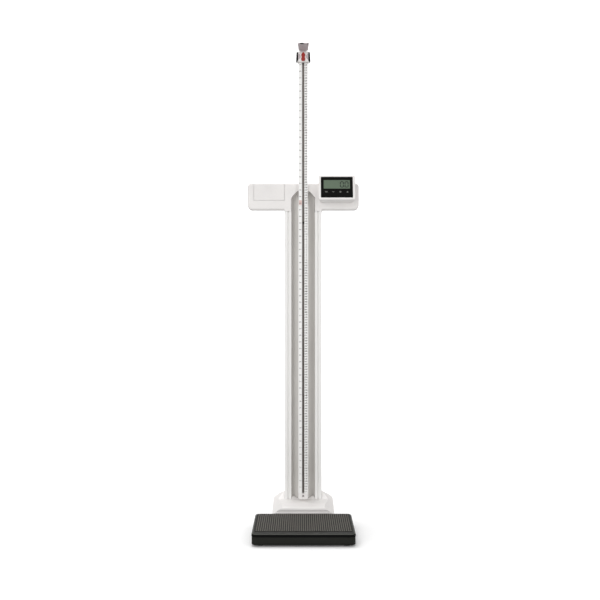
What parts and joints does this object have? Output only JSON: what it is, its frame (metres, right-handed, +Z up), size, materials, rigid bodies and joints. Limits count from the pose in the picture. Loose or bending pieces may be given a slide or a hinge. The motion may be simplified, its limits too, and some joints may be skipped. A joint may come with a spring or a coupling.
{
  "type": "column weighing scale",
  "caption": "Electronic column scale: low ribbed platform, grooved column with a crossbar and display head, and a telescopic height rod with a folding head rest.",
  "frame": {"origin": "on the floor, under the middle of the whole scale's width and depth", "axes": "+Z up along the column, -Y towards the person stepping on, +X to the right as that person sees it"},
  "size_m": [0.431, 0.52, 1.8045],
  "materials": {
    "white_plastic": "light textured white ABS",
    "white_metal": "white powder-coated aluminium extrusion",
    "grey_metal": "grey powder-coated aluminium",
    "black_plastic": "black textured plastic",
    "ribbed_rubber": "dark grey ribbed rubber mat",
    "black_rubber": "black rubber",
    "dark_steel": "black painted steel plate",
    "zinc_steel": "zinc-plated steel",
    "bare_aluminium": "milled aluminium",
    "red_plastic": "deep red moulded plastic",
    "grey_plastic": "warm grey plastic",
    "black_gloss": "black key panel film",
    "lcd": "grey-green reflective liquid crystal display",
    "circuit_board": "green solder-resist circuit board",
    "battery_wrap": "plain blue-grey cell sleeve"
  },
  "bodies": {
    "base": {"base_frame": "dark_steel", "load_cell_front_left": "bare_aluminium", "load_cell_front_right": "bare_aluminium", "load_cell_rear_left": "bare_aluminium", "load_cell_rear_right": "bare_aluminium", "wheel_axle_left": "zinc_steel", "wheel_axle_right": "zinc_steel", "base_cover": "white_plastic", "junction_board": "circuit_board", "column_profile_left": "white_metal", "column_profile_right": "white_metal", "column_web": "grey_metal", "column_foot": "dark_steel", "crossbar_front_cover": "white_plastic", "crossbar_rear_cover": "white_plastic", "crossbar_spreader": "dark_steel", "battery_tray": "black_plastic", "battery_1": "battery_wrap", "battery_2": "battery_wrap", "battery_3": "battery_wrap", "battery_4": "battery_wrap", "battery_5": "battery_wrap", "battery_6": "battery_wrap", "display_housing": "white_plastic", "display_bezel": "white_plastic", "display_panel": "black_gloss", "lcd_module": "lcd", "display_board": "circuit_board", "signal_cable": "black_plastic", "rod_outer": "white_metal", "rod_guide_cap": "white_plastic", "rod_end_cap": "white_plastic", "rod_end_screw": "zinc_steel", "rod_bracket_lower": "grey_metal", "rod_bracket_middle": "grey_metal", "rod_bracket_upper": "grey_metal"},
    "platform": {"platform_pan": "black_plastic", "platform_mat": "ribbed_rubber"},
    "foot_front_left": {"foot_front_left": "black_rubber"},
    "foot_front_right": {"foot_front_right": "black_rubber"},
    "foot_rear_left": {"foot_rear_left": "black_rubber"},
    "foot_rear_right": {"foot_rear_right": "black_rubber"},
    "wheel_left": {"wheel_left": "black_rubber"},
    "wheel_right": {"wheel_right": "black_rubber"},
    "battery_lid": {"battery_lid": "white_plastic"},
    "upper_rod": {"rod_inner": "white_metal", "rod_top_cap": "white_plastic", "rod_detent_button": "dark_steel"},
    "head_slide": {"slide_body": "white_plastic", "slide_guide_key": "black_plastic", "slide_grip_left": "black_rubber", "slide_grip_right": "black_rubber", "tongue_pin": "zinc_steel"},
    "slide_catch": {"slide_catch": "red_plastic", "catch_spring": "zinc_steel"},
    "tongue": {"tongue": "grey_plastic"},
    "key_1": {"key_1": "black_gloss"},
    "key_2": {"key_2": "black_gloss"},
    "key_3": {"key_3": "black_gloss"},
    "key_4": {"key_4": "black_gloss"}
  },
  "joints": [
    {"name": "platform_load", "type": "slide", "parent": "base", "child": "platform", "axis": [0, 0, 1], "range_m": [-0.001, 0], "stiffness_N_per_m": 60000, "springref_m": 0.0003},
    {"name": "rod_extend", "type": "slide", "parent": "base", "child": "upper_rod", "axis": [0, 0, 1], "range_m": [-0.51, 0.33]},
    {"name": "head_travel", "type": "slide", "parent": "upper_rod", "child": "head_slide", "axis": [0, 0, 1], "range_m": [-1, 0]},
    {"name": "catch_press", "type": "slide", "parent": "head_slide", "child": "slide_catch", "axis": [0, 1, 0], "range_m": [0, 0.002], "stiffness_N_per_m": 500, "springref_m": -0.002},
    {"name": "tongue_fold", "type": "hinge", "parent": "head_slide", "child": "tongue", "pos_m": [0, 0.147, 1.8], "axis": [1, 0, 0], "range_deg": [0, 90]},
    {"name": "battery_lid_lift", "type": "slide", "parent": "base", "child": "battery_lid", "axis": [0, 0, 1], "range_m": [0, 0.08]},
    {"name": "foot_front_left_turn", "type": "hinge", "parent": "base", "child": "foot_front_left", "pos_m": [-0.15, -0.222, 0], "axis": [0, 0, 1], "continuous": true},
    {"name": "foot_front_right_turn", "type": "hinge", "parent": "base", "child": "foot_front_right", "pos_m": [0.15, -0.222, 0], "axis": [0, 0, 1], "continuous": true},
    {"name": "foot_rear_left_turn", "type": "hinge", "parent": "base", "child": "foot_rear_left", "pos_m": [-0.092, 0.186, 0], "axis": [0, 0, 1], "continuous": true},
    {"name": "foot_rear_right_turn", "type": "hinge", "parent": "base", "child": "foot_rear_right", "pos_m": [0.092, 0.186, 0], "axis": [0, 0, 1], "continuous": true},
    {"name": "wheel_left_roll", "type": "hinge", "parent": "base", "child": "wheel_left", "pos_m": [-0.093, 0.236, 0.027], "axis": [1, 0, 0], "continuous": true},
    {"name": "wheel_right_roll", "type": "hinge", "parent": "base", "child": "wheel_right", "pos_m": [0.093, 0.236, 0.027], "axis": [1, 0, 0], "continuous": true},
    {"name": "key_1_press", "type": "slide", "parent": "base", "child": "key_1", "axis": [0, 0.955, -0.2965], "range_m": [0, 0.0006], "stiffness_N_per_m": 1500, "springref_m": -0.0004},
    {"name": "key_2_press", "type": "slide", "parent": "base", "child": "key_2", "axis": [0, 0.955, -0.2965], "range_m": [0, 0.0006], "stiffness_N_per_m": 1500, "springref_m": -0.0004},
    {"name": "key_3_press", "type": "slide", "parent": "base", "child": "key_3", "axis": [0, 0.955, -0.2965], "range_m": [0, 0.0006], "stiffness_N_per_m": 1500, "springref_m": -0.0004},
    {"name": "key_4_press", "type": "slide", "parent": "base", "child": "key_4", "axis": [0, 0.955, -0.2965], "range_m": [0, 0.0006], "stiffness_N_per_m": 1500, "springref_m": -0.0004}
  ]
}
